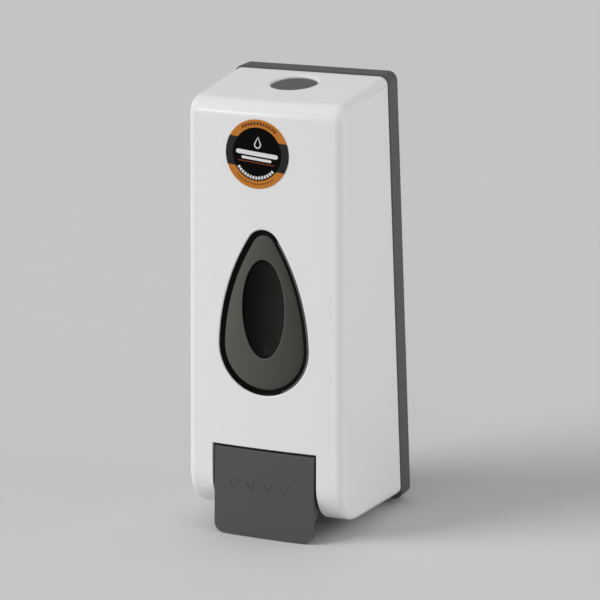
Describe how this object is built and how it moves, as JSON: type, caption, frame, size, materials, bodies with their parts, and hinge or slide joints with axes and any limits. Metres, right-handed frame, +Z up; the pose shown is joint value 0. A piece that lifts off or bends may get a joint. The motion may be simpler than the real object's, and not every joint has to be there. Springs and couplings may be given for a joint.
{
  "type": "wall mounted soap dispenser",
  "caption": "Wall-mounted liquid soap dispenser: white tapered cover with a smoked teardrop window, round label, grey push lever, release button and back plate.",
  "frame": {"origin": "centre of the four wall-screw holes, on the wall plane", "axes": "+Y into the wall, so the front faces -Y; +Z up; +X to the right seen from the front"},
  "size_m": [0.0856, 0.0762, 0.2095],
  "materials": {
    "white_plastic": "white, satin gloss, fine moulded texture",
    "dark_plastic": "dark grey, satin",
    "lever_plastic": "dark grey, satin, lightly textured",
    "button_plastic": "mid grey, satin",
    "smoked_lens": "smoked transparent, polished",
    "printed_label": "printed film, satin",
    "inner_plastic": "light grey, satin",
    "pump_plastic": "natural white, satin",
    "tank_plastic": "smoke grey, satin",
    "lid_plastic": "grey, satin",
    "soft_rubber": "black, soft",
    "spring_steel": "drawn wire and strip",
    "steel": "turned steel"
  },
  "bodies": {
    "wall_plate": {"back_plate": "dark_plastic", "bracket_screws": "steel", "latch_finger": "spring_steel", "pump_shelf": "dark_plastic", "reservoir": "tank_plastic", "reservoir_lid": "lid_plastic", "lid_seal": "soft_rubber", "neck_gasket": "soft_rubber", "pump_collar_nut": "inner_plastic", "pump_cylinder": "pump_plastic", "inlet_valve_seat": "pump_plastic", "pump_spring": "spring_steel", "cover_hinge_pins": "steel"},
    "cover": {"front_cover": "white_plastic", "sight_window": "smoked_lens", "round_label": "printed_label", "button_cage": "inner_plastic", "button_spring": "spring_steel"},
    "button": {"release_button": "button_plastic"},
    "lever": {"push_lever": "lever_plastic", "lever_pin": "steel"},
    "stem": {"pump_stem": "pump_plastic", "piston": "pump_plastic", "piston_seal": "soft_rubber", "nozzle": "inner_plastic", "nozzle_valve": "soft_rubber"},
    "ball": {"inlet_ball": "steel"}
  },
  "joints": [
    {"name": "cover_hinge", "type": "hinge", "parent": "wall_plate", "child": "cover", "pos_m": [0, -0.0134, -0.09809], "axis": [1, 0, 0], "range_deg": [0, 75]},
    {"name": "button_press", "type": "slide", "parent": "cover", "child": "button", "axis": [0, 0, -1], "range_m": [0, 0.0026], "stiffness_N_per_m": 600, "springref_m": -0.001, "deforming": ["button_spring"]},
    {"name": "lever_pivot", "type": "hinge", "parent": "wall_plate", "child": "lever", "pos_m": [0, -0.06216, -0.0675], "axis": [1, 0, 0], "range_deg": [0, 17]},
    {"name": "stem_slide", "type": "slide", "parent": "wall_plate", "child": "stem", "axis": [0, 0, 1], "range_m": [0, 0.0075], "stiffness_N_per_m": 600, "springref_m": -0.0013, "deforming": ["pump_spring"]},
    {"name": "ball_lift", "type": "slide", "parent": "wall_plate", "child": "ball", "axis": [0, 0, 1], "range_m": [0, 0.001]}
  ],
  "couplings": [
    {"joint": "lever_pivot", "follows": "stem_slide", "rad_per_m": 39.56}
  ]
}
